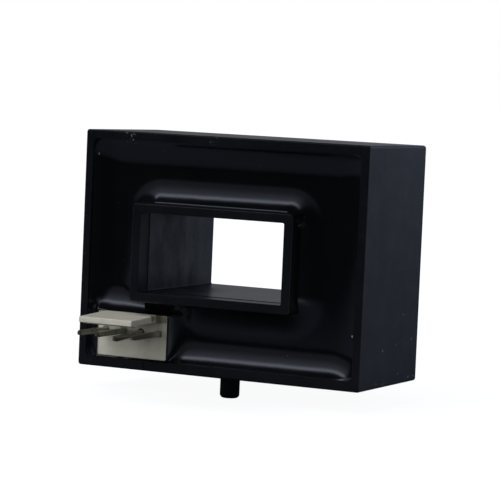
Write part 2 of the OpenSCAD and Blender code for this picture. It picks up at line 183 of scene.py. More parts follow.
def makeTree(name, inputs, build):
    # geometry tree with named inputs, closed by Realize Instances and Set Material
    tree = bpy.data.node_groups.new(name, "GeometryNodeTree")
    for label, kind in {"Geometry": "Geometry", **inputs, "Finish": "Material"}.items():
        tree.interface.new_socket(label, in_out="INPUT", socket_type="NodeSocket" + kind)
    tree.interface.new_socket("Geometry", in_out="OUTPUT", socket_type="NodeSocketGeometry")
    start = Wire(tree)
    group = start.node("NodeGroupInput")
    given = {label: group.out(label) for label in inputs}
    grown = build(group.out("Geometry"), given)
    plain = start.node("GeometryNodeRealizeInstances", {}, {"Geometry": grown})
    coated = start.node("GeometryNodeSetMaterial", {}, {"Geometry": plain, "Material": group.out("Finish")})
    start.node("NodeGroupOutput", {}, {"Geometry": coated})
    return tree


def settle(piece):
    # the evaluated piece becomes its own plain mesh
    bpy.context.view_layer.update()
    graph = bpy.context.evaluated_depsgraph_get()
    mesh = bpy.data.meshes.new_from_object(piece.evaluated_get(graph), depsgraph=graph)
    piece.modifiers.clear()
    piece.data = mesh
    return piece


def growTree(piece, tree, values):
    modifier = piece.modifiers.new(tree.name, "NODES")
    modifier.node_group = tree
    for item in tree.interface.items_tree:
        if item.in_out == "INPUT" and item.name in values:
            modifier[item.identifier] = values[item.name]
    return settle(piece)


# Mesh helpers

def addPiece(name, shape):
    mesh = bpy.data.meshes.new(name)
    bmesh.ops.recalc_face_normals(shape, faces=shape.faces)
    shape.to_mesh(mesh)
    shape.free()
    piece = bpy.data.objects.new(name, mesh)
    bpy.context.scene.collection.objects.link(piece)
    return piece


def roundRing(y, left, right, bottom, top, radius, steps=6):
    # rectangle with round corners at a station along Y
    middles = [(right - radius, top - radius), (left + radius, top - radius),
               (left + radius, bottom + radius), (right - radius, bottom + radius)]
    ring = []
    for turn, (x, z) in enumerate(middles):
        for step in range(steps + 1):
            angle = math.radians(90 * (turn + step / steps))
            ring.append(Vector((x + radius * math.cos(angle), y, z + radius * math.sin(angle))))
    return ring


def loft(rings, loop=False):
    # quads from ring to ring; a loop joins the last ring to the first, otherwise both ends are capped
    shape = bmesh.new()
    rows = [[shape.verts.new(point) for point in ring] for ring in rings]
    pairs = list(zip(rows, rows[1:]))
    if loop:
        pairs.append((rows[-1], rows[0]))
    else:
        shape.faces.new(rows[0])
        shape.faces.new(rows[-1][::-1])
    for near, far in pairs:
        for k, point in enumerate(near):
            after = (k + 1) % len(near)
            shape.faces.new((point, near[after], far[after], far[k]))
    return shape


def quarter(steps=4):
    # cosine and sine along a quarter turn, for edges that are rounded
    turns = [math.radians(90 * k / steps) for k in range(steps + 1)]
    return [(math.cos(turn), math.sin(turn)) for turn in turns]


def combine(piece, other, operation):
    modifier = piece.modifiers.new(operation.lower(), "BOOLEAN")
    modifier.operation = operation
    modifier.solver = "EXACT"
    modifier.object = other
    settle(piece)
    bpy.data.objects.remove(other)


def smoothFaces(piece, crease=35):
    # smooth shading that stays flat on flat faces and breaks at sharp edges
    piece.data.shade_smooth()
    piece.data.set_sharp_from_angle(angle=math.radians(crease))
    modifier = piece.modifiers.new("normals", "WEIGHTED_NORMAL")
    modifier.keep_sharp = True
    settle(piece)


def coat(piece, finish):
    piece.data.materials.clear()
    piece.data.materials.append(finish)


# Finishes; pairs of numbers are the two ends of a range

dustLook = {"tone": colour(0.19, 0.195, 0.20), "grain": 0.2 * mm, "edge": 0.03,
            "patch": 5 * mm, "patchShare": 0.25, "spotShare": 0.2, "spotLeast": 0.13,
            "ragged": 0.5 * mm, "stray": 0.4 * mm, "core": 0.6}
# places and reaches in mm: along the top rim, in the upper left corner, beside the window, low on the right
dustSpots = [((-13.5, -4.3, 29.4), 2.0), ((-1.4, -4.3, 29.4), 1.6), ((-18.3, -3.8, 27.2), 0.9),
             ((10.9, -4.4, 20.1), 1.6), ((19.8, 3.0, 0.5), 2.5)]
# single grains, in the same way: low on the right face, and one on the resin beside it
dustGrains = [((19.8, 8.5, 8.8), 0.20), ((19.8, 11.4, 5.5), 0.20), ((19.8, 6.6, 5.1), 0.16),
              ((19.8, 2.4, 4.7), 0.20), ((19.8, 7.5, 1.4), 0.20), ((19.8, 10.9, 0.7), 0.22),
              ((19.8, 12.5, 0.7), 0.20), ((19.8, 0.8, 0.6), 0.16), ((18.2, -3.2, 6.7), 0.17)]


def dustSpecks(place, least):
    # share of the surface under small pale specks, which gather in patches, and under single grains
    look = dustLook
    fleck = place.grain(look["grain"], 1.0)
    patch = place.grain(look["patch"]) * look["patchShare"]
    for middle, reach in dustSpots:
        spot = place.near(Vector(middle) * mm, reach * mm)
        patch = patch.atLeast(spot * look["spotShare"] + look["spotLeast"])
    specks = (fleck + patch).between(least, least + look["edge"])
    stray = Vector((1, 1, 1)) * look["stray"]
    ragged = place.vector("MULTIPLY_ADD", place.grain(look["ragged"]).out("Color"), stray, place)
    for middle, reach in dustGrains:
        apart = ragged.vector("DISTANCE", ragged, Vector(middle) * mm + stray / 2, take="Value")
        specks = specks.atLeast(1 - apart.between(reach * look["core"] * mm, reach * mm))
    return specks


plasticLook = {"dark": colour(0.0017, 0.0019, 0.0026), "light": colour(0.0032, 0.0036, 0.0048),
               "cloud": 6 * mm, "mould": 0.16 * mm, "depth": 0.005 * mm,
               "shade": (0.3, 0.7), "mouldShade": 0.45, "rough": (0.25, 0.41), "mouldRough": 0.6,
               "smudge": 2.6 * mm, "smudgeEdge": (0.38, 0.66), "coat": (0.0, 0.26), "leastDust": 0.94}
# the window's left wall has a grey film from handling, and is duller in front of its step and at its foot
wallLook = {"middle": windowMouth + Vector((-10, 9, 0)) * mm, "film": colour(0.0105, 0.0108, 0.0102),
            "filmReach": 10 * mm, "filmFade": 0.35, "drag": 0.4, "wiped": (0.3, 0.62), "filmRough": 0.26,
            "skin": (-0.14 * mm, -0.08 * mm), "clear": (0.1 * mm, 0.3 * mm),
            "step": (2.45 * mm, 2.55 * mm), "foot": (-5 * mm, -2 * mm),
            "stepDull": 0.58, "footDull": 0.55, "dullRough": 0.3}


def wallFilm(place):
    wiped = place.squeeze(1.0, 1.0, wallLook["drag"]).grain(plasticLook["smudge"], 4.0, 0.6)
    around = place.near(wallLook["middle"], wallLook["filmReach"])
    return wiped.between(*wallLook["wiped"]) * around.between(0, wallLook["filmFade"])


def wallDull(place):
    across, along, high = place.split()
    inside = across - wallLook["middle"].x
    onWall = inside.between(*wallLook["skin"]) * (1 - inside.between(*wallLook["clear"]))
    inFront = 1 - (along - windowMouth.y).between(*wallLook["step"])
    low = 1 - (high - windowMouth.z).between(*wallLook["foot"])
    return onWall * (inFront * wallLook["stepDull"] + low * wallLook["footDull"])


def plasticSurface(place):
    look = plasticLook
    cloud = place.grain(look["cloud"], 3.0)
    mould = place.grain(look["mould"], 3.0, 0.6)
    shade = cloud.blend(mould, look["mouldShade"]).between(*look["shade"])
    smudge = place.grain(look["smudge"], 4.0, 0.6).between(*look["smudgeEdge"])
    film = wallFilm(place)
    dull = wallDull(place)
    plain = film.tint(shade.tint(look["dark"], look["light"]), wallLook["film"])
    rough = cloud.blend(mould, look["mouldRough"]).stretch(*look["rough"])
    return {"Base Color": dustSpecks(place, look["leastDust"]).tint(plain, dustLook["tone"]),
            "Roughness": rough + film * wallLook["filmRough"] + dull * wallLook["dullRough"],
            "Coat Weight": smudge.blend(shade, 0.5).stretch(*look["coat"]) * (1 - dull).atLeast(0),
            "Normal": mould.relief(look["depth"])}


housingPlastic = makeFinish("housingPlastic", {"IOR": 1.5, "Specular IOR Level": 0.4, "Coat IOR": 1.5,
                                               "Coat Roughness": 0.4}, plasticSurface)

resinLook = {"dark": colour(0.0011, 0.0013, 0.0016), "light": colour(0.0018, 0.0020, 0.0026),
             "swirl": 7 * mm, "shade": (0.35, 0.7), "peel": 1.6 * mm, "depth": 0.006 * mm,
             "film": 0.5 * mm, "rough": (0.07, 0.18), "leastDust": 0.96}


def resinSurface(place):
    look = resinLook
    swirl = place.grain(look["swirl"], 3.0)
    peel = place.grain(look["peel"], 1.0)
    film = place.grain(look["film"], 4.0, 0.65)
    plain = swirl.between(*look["shade"]).tint(look["dark"], look["light"])
    return {"Base Color": dustSpecks(place, look["leastDust"]).tint(plain, dustLook["tone"]),
            "Roughness": swirl.blend(film, 0.5).stretch(*look["rough"]),
            "Normal": peel.relief(look["depth"])}


castingResin = makeFinish("castingResin", {"IOR": 1.52, "Specular IOR Level": 0.5}, resinSurface)

nylonLook = {"clean": colour(0.595, 0.58, 0.50), "aged": colour(0.515, 0.495, 0.405), "age": (0.35, 0.72),
             "cloud": 2.2 * mm, "fleck": 0.35 * mm, "depth": 0.008 * mm, "rough": (0.36, 0.6),
             "smear": 0.8 * mm, "drag": 0.35,
             "stain": colour(0.10, 0.092, 0.055), "stainShare": 0.8, "soilBreak": 0.9, "soil": (0.65, 1.15),
             "speck": (0.68, 0.76), "speckPatch": (0.45, 0.6), "speckShare": 0.5,
             "rust": colour(0.15, 0.045, 0.022), "rustLeast": 0.6, "rustEdge": (0.25, 0.6),
             "paintedShade": colour(0.28, 0.268, 0.215), "paintedShadeShare": (0.35, 0.75),
             "paintedShadeAcross": (-4 * mm, 4 * mm), "paintedShadeAlong": (-1.5 * mm, 0)}
# places from the middle of the pin row and reaches, in mm: tongue root, then the root of the third pin
soilSpots = [((3.9, -0.3, 2.0), 1.3), ((4.6, 0, 1.9), 0.9), ((3.8, -1.6, 2.1), 0.9)]
rustSpot = ((1.2, -0.1, 0.3), 0.5)


def spotOn(place, spot):
    middle, reach = spot
    return place.near(headerMouth + Vector(middle) * mm, reach * mm)


def nylonSurface(place):
    look = nylonLook
    cloud = place.grain(look["cloud"], 4.0, 0.6)
    fleck = place.grain(look["fleck"], 3.0, 0.7)
    smear = place.squeeze(1.0, 1.0, look["drag"]).grain(look["smear"], 3.0, 0.6)
    soil = spotOn(place, soilSpots[0])
    for spot in soilSpots[1:]:
        soil = soil.atLeast(spotOn(place, spot))
    soil = (soil + smear.blend(fleck, 0.4) * look["soilBreak"]).between(*look["soil"])
    speck = fleck.between(*look["speck"]) * cloud.between(*look["speckPatch"]) * look["speckShare"]
    rust = (spotOn(place, rustSpot) * (look["rustLeast"] + fleck)).between(*look["rustEdge"])
    base = cloud.between(*look["age"]).tint(look["clean"], look["aged"])
    # painted shade: the base's front is darkened towards its right end, standing in for light that falls off
    # there
    across, along, _ = place.split()
    paintedShade = (across - headerMouth.x).between(*look["paintedShadeAcross"])
    paintedShade = paintedShade * (along - headerMouth.y).between(*look["paintedShadeAlong"])
    base = (paintedShade * smear.stretch(*look["paintedShadeShare"])).tint(base, look["paintedShade"])
    soiled = (soil * look["stainShare"]).atLeast(speck).tint(base, look["stain"])
    return {"Base Color": rust.tint(soiled, look["rust"]),
            "Roughness": cloud.blend(fleck, 0.5).stretch(*look["rough"]),
            "Normal": fleck.relief(look["depth"])}


headerNylon = makeFinish("headerNylon", {"IOR": 1.53, "Subsurface Weight": 0.12, "Subsurface Scale": 0.5 * mm,
                                         "Subsurface Radius": (1.0, 0.8, 0.5)}, nylonSurface)

tinLook = {"bright": colour(0.61, 0.595, 0.50), "dull": colour(0.45, 0.435, 0.345), "plate": (0.3, 0.7),
           "drawn": 0.14 * mm, "drag": 0.05, "depth": 0.0015 * mm, "blotch": 1.1 * mm,
           "metal": (0.95, 0.75), "rough": (0.24, 0.42),
           "tarnishAndUnderShade": colour(0.17, 0.155, 0.105), "tarnishEdge": (0.5, 0.72), "blotchShare": 0.7,
           "tip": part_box("terminal_pin_1")[0].y, "tipReach": 0.6 * mm, "tipShare": 0.9,
           "under": (-0.34 * mm, -0.1 * mm), "underShadeShare": 0.8, "rustShare": 0.8}


def tinSurface(place):
    # drawn wire, tarnished in blotches and at its cut tip; painted shade darkens its under side
    look = tinLook
    drawn = place.squeeze(1.0, look["drag"], 1.0).grain(look["drawn"])
    blotch = place.grain(look["blotch"], 3.0, 0.6)
    plate = drawn.between(*look["plate"]).tint(look["dull"], look["bright"])
    _, along, high = place.split()
    tip = 1 - (along - look["tip"]).between(0.0, look["tipReach"])
    # painted shade: the lower side of each pin is darkened, where less light reaches it
    under = 1 - (high - headerMouth.z).between(*look["under"])
    tarnishAndShade = blotch.between(*look["tarnishEdge"]) * look["blotchShare"]
    tarnishAndShade = tarnishAndShade.atLeast(tip * look["tipShare"]).atLeast(under * look["underShadeShare"])
    tarnishAndShade = tarnishAndShade.tint(plate, look["tarnishAndUnderShade"])
    return {"Base Color": (spotOn(place, rustSpot) * look["rustShare"]).tint(tarnishAndShade, nylonLook["rust"]),
            "Metallic": blotch.stretch(*look["metal"]),
            "Roughness": drawn.blend(blotch, 0.5).stretch(*look["rough"]),
            "Normal": drawn.relief(look["depth"])}


plainBase = {"IOR": 1.5}
pinTin = makeFinish("pinTin", plainBase, tinSurface)

laminateLook = {"dark": colour(0.015, 0.085, 0.03), "light": colour(0.03, 0.14, 0.05), "weave": 0.6 * mm,
                "rough": (0.3, 0.42), "depth": 0.006 * mm}


def laminateSurface(place):
    across, _, high = place.split()

    def thread(way):
        turn = way * (math.tau / laminateLook["weave"])
        return turn.math("SINE", turn)

    weave = thread(across) * thread(high) * 0.5 + 0.5
    return {"Base Color": weave.tint(laminateLook["dark"], laminateLook["light"]),
            "Roughness": weave.stretch(*laminateLook["rough"]), "Normal": weave.relief(laminateLook["depth"])}


stripLook = {"dark": colour(0.2, 0.21, 0.23), "light": colour(0.38, 0.39, 0.41), "shade": (0.3, 0.7),
             "turn": 0.2 * mm, "drag": 0.05, "rough": (0.3, 0.55), "depth": 0.01 * mm}


def stripSurface(place):
    turns = place.squeeze(1.0, stripLook["drag"], 1.0).grain(stripLook["turn"], 3.0, 0.6)
    return {"Base Color": turns.between(*stripLook["shade"]).tint(stripLook["dark"], stripLook["light"]),
            "Metallic": 1.0, "Roughness": turns.stretch(*stripLook["rough"]),
            "Normal": turns.relief(stripLook["depth"])}


# mottled finishes for pieces that the resin covers
mottledShade = (0.3, 0.7)
mottledLook = {
    "solder": {"name": "brightSolder", "dark": colour(0.5, 0.51, 0.52), "light": colour(0.68, 0.69, 0.7),
               "size": 0.5 * mm, "rough": (0.2, 0.4), "depth": 0.01 * mm, "metal": 1.0},
    "chip_package": {"name": "chipPackage", "dark": colour(0.012, 0.012, 0.013),
                     "light": colour(0.028, 0.028, 0.03), "size": 0.2 * mm, "rough": (0.55, 0.75),
                     "depth": 0.008 * mm, "metal": 0.0},
    "lead_tin": {"name": "leadTin", "dark": colour(0.42, 0.42, 0.41), "light": colour(0.6, 0.6, 0.59),
                 "size": 0.3 * mm, "rough": (0.3, 0.5), "depth": 0.004 * mm, "metal": 1.0},
    "resistor_body": {"name": "resistorGlaze", "dark": colour(0.018, 0.024, 0.04),
                      "light": colour(0.04, 0.05, 0.075), "size": 0.3 * mm, "rough": (0.25, 0.4),
                      "depth": 0.004 * mm, "metal": 0.0},
    "capacitor_body": {"name": "capacitorCeramic", "dark": colour(0.28, 0.19, 0.1),
                       "light": colour(0.4, 0.29, 0.17), "size": 0.3 * mm, "rough": (0.4, 0.6),
                       "depth": 0.006 * mm, "metal": 0.0},
}


def mottledSurface(look):
    def vary(place):
        mottle = place.grain(look["size"], 3.0, 0.6)
        return {"Base Color": mottle.between(*mottledShade).tint(look["dark"], look["light"]),
                "Roughness": mottle.stretch(*look["rough"]), "Metallic": look["metal"],
                "Normal": mottle.relief(look["depth"])}
    return vary


slotFinish = {
    "housing_plastic": housingPlastic,
    "casting_resin": castingResin,
    "header_nylon": headerNylon,
    "pin_tin": pinTin,
    "board_laminate": makeFinish("boardLaminate", plainBase, laminateSurface),
    "core_steel": makeFinish("coreSteel", plainBase, stripSurface),
}
for slot, look in mottledLook.items():
    slotFinish[slot] = makeFinish(look["name"], plainBase, mottledSurface(look))
for part in frame["record"]["subparts"]:
    frame["nodes"][part["node"]].material_slots[0].material = slotFinish[part["material_slot"]]
print("finishes made:", len(bpy.data.materials))


# Housing: one loop of rings over the outside, through the window, along the tube and the cavity

housingLow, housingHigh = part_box("housing")
housingSize = {"wall": 1.1 * mm, "bottomWall": 1.3 * mm, "backWall": 1.2 * mm, "draft": 0.2 * mm,
               "collar": 2.1 * mm, "edge": 0.35 * mm, "rimEdge": 0.2 * mm, "innerEdge": 0.02 * mm,
               "innerCorner": 0.6 * mm, "windowWide": 20.0 * mm, "windowHigh": 10.0 * mm,
               "tubeWall": 1.25 * mm, "tubeCorner": 0.4 * mm, "collarEdge": 0.2 * mm, "mouthEdge": 0.08 * mm,
               "windowCorner": 0.2 * mm, "step": 0.06 * mm, "stepBehindRim": 0.4 * mm, "rearEdge": 0.15 * mm}
rimFront = housingLow.y + housingSize["collar"]
rearFace = housingHigh.y


def drawIn(y):
    return housingSize["draft"] * (y - rimFront) / (rearFace - rimFront)


def outerRing(y, inset):
    side = drawIn(y) + inset
    return roundRing(y, housingLow.x + side, housingHigh.x - side, inset, housingHigh.z - side,
                     housingSize["edge"])


def cavityRing(y, spread=0.0):
    side = drawIn(y) + housingSize["wall"] - spread
    return roundRing(y, housingLow.x + side, housingHigh.x - side, housingSize["bottomWall"] - spread,
                     housingHigh.z - side, housingSize["innerCorner"])


def windowRing(y, spread, corner):
    wide = housingSize["windowWide"] / 2 + spread
    high = housingSize["windowHigh"] / 2 + spread
    return roundRing(y, windowMouth.x - wide, windowMouth.x + wide, windowMouth.z - high,
                     windowMouth.z + high, corner)


def housingRings():
    size = housingSize
    rim, edge, rear = size["rimEdge"], size["edge"], size["rearEdge"]
    mouth, lip, inner = size["mouthEdge"], size["collarEdge"], size["innerEdge"]
    step, tube = size["step"], size["tubeWall"]
    corner, tubeCorner = size["windowCorner"], size["tubeCorner"]
    front = housingLow.y
    innerBack = rearFace - size["backWall"]
    stepAt = rimFront + size["stepBehindRim"]
    rings = [outerRing(rimFront + rim * (1 - c), rim * (1 - s)) for c, s in quarter()]
    rings += [outerRing(rearFace - edge * (1 - s), edge * (1 - c)) for c, s in quarter()]
    rings += [windowRing(rearFace - rear * (1 - c), rear * (1 - s), corner) for c, s in quarter()]
    rings += [windowRing(stepAt, 0, corner), windowRing(stepAt, step, corner)]
    rings += [windowRing(front + mouth * (1 - s), step + mouth * (1 - c), corner) for c, s in quarter(3)]
    rings += [windowRing(front + lip * (1 - c), tube - lip * (1 - s), tubeCorner) for c, s in quarter()]
    rings += [windowRing(innerBack, tube, tubeCorner), cavityRing(innerBack)]
    rings += [cavityRing(rimFront + inner * (1 - s), inner * (1 - c)) for c, s in quarter()]
    return rings


pegSize = {"radius": mounts["locating_peg"]["dims"]["r_mm"] * mm, "tipEdge": 0.5 * mm, "root": 0.6 * mm,
           "rootFillet": 0.12 * mm, "sides": 48}


def pegRings():
    tip = housingLow.z
    outline = [(pegSize["radius"] - pegSize["tipEdge"] * (1 - s), tip + pegSize["tipEdge"] * (1 - c))
               for c, s in quarter(6)]
    outline += [(pegSize["radius"] + pegSize["rootFillet"] * (1 - c), -pegSize["rootFillet"] * (1 - s))
                for c, s in quarter(3)]
    outline.append((pegSize["radius"] + pegSize["rootFillet"], pegSize["root"]))
    turns = [math.tau * k / pegSize["sides"] for k in range(pegSize["sides"])]
    return [[Vector((r * math.cos(a), r * math.sin(a), z)) for a in turns] for r, z in outline]


housing = addPiece("housingMoulding", loft(housingRings(), loop=True))
combine(housing, addPiece("pegBlank", loft(pegRings())), "UNION")
coat(housing, housingPlastic)
smoothFaces(housing)
print("housing:", len(housing.data.polygons), "faces")


# Casting resin: a block whose free face climbs the walls, the tube and the header

headerLow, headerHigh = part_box("header_base")
resinLow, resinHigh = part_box("potting_resin")
resinSize = {"depth": 1.6 * mm, "grid": 0.2 * mm, "bury": 0.04 * mm, "lip": 0.3 * mm, "slack": 0.1 * mm,
             "crease": 50}
resinLevel = rimFront + resinSize["depth"]
climbRule = {"Rise": 1.35 * mm, "Dip": 0.05 * mm, "Reach": 3.9 * mm, "Blend": 1.5, "Ease": 0.06 * mm,
             "Crest": 0.2 * mm, "Mitre": 2.5, "Right Share": 0.57, "Tube Round": 2.2 * mm,
             "Header Calm": 5 * mm, "Header Narrow": 1.5, "Header Offset": 0.15 * mm,
             "Header Round": 0.05 * mm, "Header Rise": resinLevel - headerMouth.y + resinSize["lip"],
             "Ripple": 0.03 * mm, "Ripple Size": 5.5 * mm}
tiny = 1e-6            # keeps divisions and powers finite
justOverOne = 1.02     # the same, where a share reaches 1
tubeReach = Vector((housingSize["windowWide"] / 2, 0, housingSize["windowHigh"] / 2))
tubeReach += Vector((1, 0, 1)) * housingSize["tubeWall"]
tubeLow, tubeHigh = windowMouth - tubeReach, windowMouth + tubeReach


def gridLines(stops, step):
    # even lines between stops, with a line on every stop
    lines = []
    for low, high in zip(stops, stops[1:]):
        count = max(1, round((high - low) / step))
        lines += [low + (high - low) * k / count for k in range(count)]
    return lines + [stops[-1]]


def resinBlock():
    # grid block that stops short of the tube and the header; its edges run a little way into its neighbours
    bury = resinSize["bury"]
    holes = [(low.x + bury, high.x - bury, low.z + bury, high.z - bury)
             for low, high in ((tubeLow, tubeHigh), (headerLow, headerHigh))]
    xs = sorted([resinLow.x - bury, resinHigh.x + bury, tubeLow.x, tubeHigh.x, headerLow.x, headerHigh.x]
                + [edge for hole in holes for edge in hole[:2]])
    zs = sorted([resinLow.z - bury, resinHigh.z + bury, tubeLow.z, tubeHigh.z, headerLow.z, headerHigh.z]
                + [edge for hole in holes for edge in hole[2:]])
    xs = gridLines(xs, resinSize["grid"])
    zs = gridLines(zs, resinSize["grid"])
    shape = bmesh.new()
    points = {}

    def corner(i, k):
        if (i, k) not in points:
            points[i, k] = shape.verts.new((xs[i], resinLevel, zs[k]))
        return points[i, k]

    for i in range(len(xs) - 1):
        for k in range(len(zs) - 1):
            x, z = (xs[i] + xs[i + 1]) / 2, (zs[k] + zs[k + 1]) / 2
            if not any(left < x < right and low < z < high for left, right, low, high in holes):
                shape.faces.new((corner(i, k), corner(i + 1, k), corner(i + 1, k + 1), corner(i, k + 1)))
    made = bmesh.ops.extrude_face_region(shape, geom=list(shape.faces), use_keep_orig=True)
    for item in made["geom"]:
        if isinstance(item, bmesh.types.BMVert):
            item.co.y = resinHigh.y
    return shape


def climb(geometry, given):
    place = geometry.node("GeometryNodeInputPosition")
    x, y, z = place.split()

    def box(name):
        lowX, _, lowZ = given[name + " Low"].split()
        highX, _, highZ = given[name + " High"].split()
        return lowX, highX, lowZ, highZ

    def outside(name, curve):
        # way from a box whose corners count as rounded, and how far that way points up or down
        lowX, highX, lowZ, highZ = box(name)
        aside = ((lowX - x).atLeast(x - highX) + curve).atLeast(0)
        above = ((lowZ - z).atLeast(z - highZ) + curve).atLeast(0)
        apart = (aside * aside + above * above) ** 0.5
        return (apart - curve).atLeast(0), above / apart.atLeast(tiny)

    whole = given["Rise"] + given["Dip"]
    bend = (given["Reach"] * given["Reach"] + whole * whole) / (2 * whole)

    def eased(height):
        return (height + (height * height + given["Ease"] * given["Ease"]) ** 0.5) / 2

    def rise(distance):
        # arc that starts below the level, cut off softly at the level
        inside = (given["Reach"] - distance).atLeast(0)
        arc = bend - given["Dip"] - (bend * bend - inside * inside) ** 0.5
        return (eased(arc) - eased(0 - given["Dip"])).atLeast(0)

    def mitred(first, second):
        # shorter of two ways, eased where they are alike
        parts = first.atLeast(tiny) ** (0 - given["Mitre"]) + second.atLeast(tiny) ** (0 - given["Mitre"])
        return parts ** (-1 / given["Mitre"])

    def blended(heights):
        return sum(one ** given["Blend"] for one in heights) ** (1 / given["Blend"])

    lowX, highX, lowZ, highZ = box("Walls")
    fromHeader, upright = outside("Header", given["Header Round"])
    fromTube, _ = outside("Tube", given["Tube Round"])
    facing = upright * upright
    besideHeader = fromHeader * given["Header Narrow"] / (justOverOne - facing)
    climbs = [rise(x - lowX), rise(highX - x) * given["Right Share"],
              rise(mitred((z - lowZ).atMost(highZ - z), besideHeader)),
              rise(fromTube) * fromHeader.between(0, given["Header Calm"])]
    total = blended(climbs)
    total = total.math("SMOOTH_MIN", total, given["Rise"] + given["Crest"] / 2, given["Crest"])
    total = blended([total, rise(fromHeader - given["Header Offset"]) * facing])
    flush = given["Header Rise"] + fromHeader     # just in front of the header's face at its edge
    noise = place.node("ShaderNodeTexNoise", {}, {"Vector": place, "Scale": 1 / given["Ripple Size"],
                                                  "Detail": 1.0})
    lift = total.math("SMOOTH_MIN", total, flush, given["Crest"]) + (noise - 0.5) * given["Ripple"]
    front = y.math("LESS_THAN", y, given["Level"] + resinSize["slack"])
    offset = place.node("ShaderNodeCombineXYZ", {}, {"Y": 0 - lift})
    return geometry.node("GeometryNodeSetPosition", {},
                         {"Geometry": geometry, "Selection": front, "Offset": offset})


climbTree = makeTree("resinClimb", {
    "Level": "Float", **{name: "Float" for name in climbRule}, "Walls Low": "Vector", "Walls High": "Vector",
    "Tube Low": "Vector", "Tube High": "Vector", "Header Low": "Vector", "Header High": "Vector"}, climb)
resin = addPiece("resinFill", resinBlock())
growTree(resin, climbTree, {
    **climbRule, "Level": resinLevel, "Walls Low": resinLow, "Walls High": resinHigh, "Tube Low": tubeLow,
    "Tube High": tubeHigh, "Header Low": headerLow, "Header High": headerHigh, "Finish": castingResin})
smoothFaces(resin, resinSize["crease"])
print("resin:", len(resin.data.polygons), "faces")


# Header: base and friction-lock tongue, one moulding

headerSize = {"tongueWide": 7.6 * mm, "tip": 0.77 * mm, "root": 0.95 * mm, "rooted": 1.5 * mm,
              "lean": 0.3 * mm, "ridge": 0.25 * mm, "ridgeBack": 1.2 * mm, "ridgeRamp": 0.6 * mm,
              "edge": 0.12 * mm, "edgeSteps": 3, "edgeAngle": 20,
              "socketWide": 0.9 * mm, "socketDeep": 0.22 * mm, "socketFlare": 0.1 * mm, "pin": 0.64 * mm}


def tongueShape():
    # side view of the tongue, with its locking ridge, drawn across its width
    size = headerSize
    front, tip, top = headerMouth.y, headerLow.y, headerHigh.z
    tipTop = top - size["lean"]
    slope = (size["lean"] + size["tip"] - size["root"]) / (front - tip)

    def under(y):
        return tipTop - size["tip"] + slope * (y - tip)

    ridgeAt = tip + size["ridgeBack"]
    rooted = front + size["rooted"]
    outline = [(rooted, top), (front, top), (tip, tipTop), (tip, under(tip)),
               (ridgeAt - size["ridgeRamp"], under(ridgeAt - size["ridgeRamp"])),
               (ridgeAt, under(ridgeAt) - size["ridge"]),
               (ridgeAt + size["ridgeRamp"], under(ridgeAt + size["ridgeRamp"])),
               (front, top - size["root"]), (rooted, top - size["root"])]
    ends = [headerMouth.x - size["tongueWide"] / 2, headerMouth.x + size["tongueWide"] / 2]
    return loft([[Vector((x, y, z)) for y, z in outline] for x in ends])


def boxShape(low, high):
    return loft([[Vector((low.x, y, low.z)), Vector((high.x, y, low.z)), Vector((high.x, y, high.z)),
                  Vector((low.x, y, high.z))] for y in (low.y, high.y)])


pinCount = sum(name.startswith("terminal_pin") for name in frame["nodes"])
pinBoxes = [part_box("terminal_pin_%d" % (k + 1)) for k in range(pinCount)]
pinPlaces = [(low.x + high.x) / 2 for low, high in pinBoxes]


def socketShape(x):
    # square lead-in round a pin
    flare = headerSize["socketFlare"]
    rings = []
    for y, wide in ((headerMouth.y - flare, headerSize["socketWide"] + flare),
                    (headerMouth.y + headerSize["socketDeep"], headerSize["pin"])):
        half = wide / 2
        rings.append([Vector((x + sx * half, y, headerMouth.z + sz * half))
                      for sx, sz in ((-1, -1), (1, -1), (1, 1), (-1, 1))])
    return loft(rings)


header = addPiece("headerMoulding", boxShape(Vector((headerLow.x, headerMouth.y, headerLow.z)), headerHigh))
combine(header, addPiece("tongueBlank", tongueShape()), "UNION")
rounding = header.modifiers.new("edges", "BEVEL")
rounding.width = headerSize["edge"]
rounding.segments = headerSize["edgeSteps"]
rounding.limit_method = "ANGLE"
rounding.angle_limit = math.radians(headerSize["edgeAngle"])
settle(header)
for x in pinPlaces:
    combine(header, addPiece("socketBlank", socketShape(x)), "DIFFERENCE")
coat(header, headerNylon)
smoothFaces(header)
print("header:", len(header.data.polygons), "faces")


# Pins: one square bar, repeated along the row; the third is bent down where it leaves the base

pinSize = {"taper": 0.5 * mm, "tipShare": 0.5, "corner": 0.07 * mm, "cornerSteps": 3, "midway": 4 * mm,
           "crease": 25}
pinRule = {"Count": pinCount, "Pitch": pinPlaces[1] - pinPlaces[0], "Bent Pin": 2.0,
           "Droop": math.tan(math.radians(3)), "Bend Start": headerMouth.y}


def pinShape():
    tip, tail = pinBoxes[0][0].y, pinBoxes[0][1].y
    taper, tipShare = pinSize["taper"], pinSize["tipShare"]
    half = headerSize["pin"] / 2
    rings = []
    for y, share in ((tip, tipShare), (tip + taper, 1.0), (headerMouth.y - pinSize["midway"], 1.0),
                     (headerMouth.y, 1.0), (tail - taper, 1.0), (tail, tipShare)):
        wide = half * share
        rings.append(roundRing(y, -wide, wide, -wide, wide, pinSize["corner"] * share,
                               pinSize["cornerSteps"]))
    return loft(rings)


